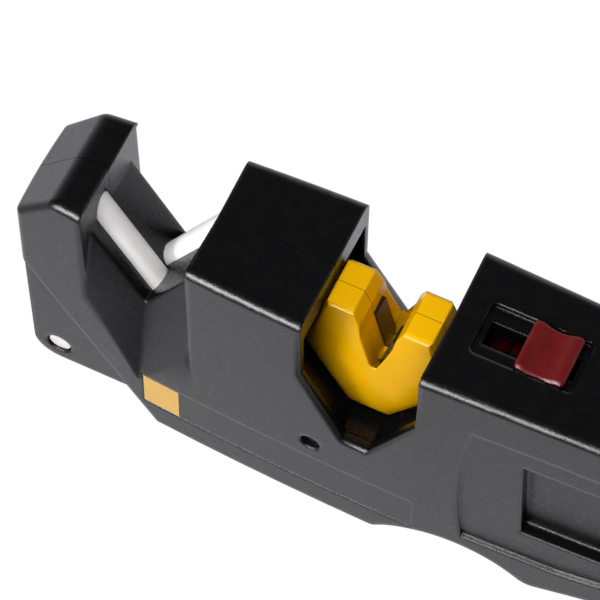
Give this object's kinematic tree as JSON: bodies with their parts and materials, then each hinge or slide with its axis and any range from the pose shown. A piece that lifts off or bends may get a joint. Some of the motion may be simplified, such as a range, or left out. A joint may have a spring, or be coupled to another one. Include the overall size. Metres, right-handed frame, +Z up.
{
  "type": "pull-through knife sharpener",
  "caption": "Hand-held pull-through knife sharpener: split moulded body, crossed ceramic rods, rocking carbide carrier with a lock slide, and a fold-out tapered rod.",
  "frame": {"origin": "middle of the bounding box at the level of the flat base", "axes": "+X from the nose to the butt of the handle, +Y away from the labelled side, +Z up out of the knife slots"},
  "size_m": [0.205, 0.0314, 0.0647],
  "materials": {
    "shell_plastic": "fine moulded grain",
    "dark_steel": "blackened",
    "bright_steel": "turned",
    "washer_plastic": "smooth",
    "white_ceramic": "fine ground",
    "grey_ceramic": "fine ground",
    "label_gloss": "clear gloss",
    "tile_amber": "printed gloss",
    "carrier_yellow": "gloss",
    "carbide": "ground",
    "slider_red": "satin",
    "arm_plastic": "fine moulded grain"
  },
  "bodies": {
    "housing": {"near_shell": "shell_plastic", "far_shell": "shell_plastic", "shell_screws": "dark_steel", "hinge_pin": "bright_steel", "arm_washers": "washer_plastic", "near_ceramic_rod": "white_ceramic", "far_ceramic_rod": "white_ceramic", "label_plate": "label_gloss", "amber_tile": "tile_amber", "detent_spring": "bright_steel"},
    "pivot_carrier": {"carrier_near_half": "carrier_yellow", "carrier_far_half": "carrier_yellow", "carrier_screws": "dark_steel", "front_carbide": "carbide", "rear_carbide": "carbide", "front_trunnion": "bright_steel", "rear_trunnion": "bright_steel"},
    "lock_slide": {"lock_slider": "slider_red"},
    "fold_out_arm": {"serration_arm": "arm_plastic", "tapered_rod": "grey_ceramic"}
  },
  "joints": [
    {"name": "carrier_pivot", "type": "hinge", "parent": "housing", "child": "pivot_carrier", "pos_m": [-0.03215, 0, 0.0455], "axis": [1, 0, 0], "range_deg": [-15, 15]},
    {"name": "lock_travel", "type": "slide", "parent": "housing", "child": "lock_slide", "axis": [-1, 0, 0], "range_m": [0, 0.008]},
    {"name": "arm_fold", "type": "hinge", "parent": "housing", "child": "fold_out_arm", "pos_m": [-0.0965, 0, 0.0058], "axis": [0, 1, 0], "range_deg": [0, 180]}
  ]
}
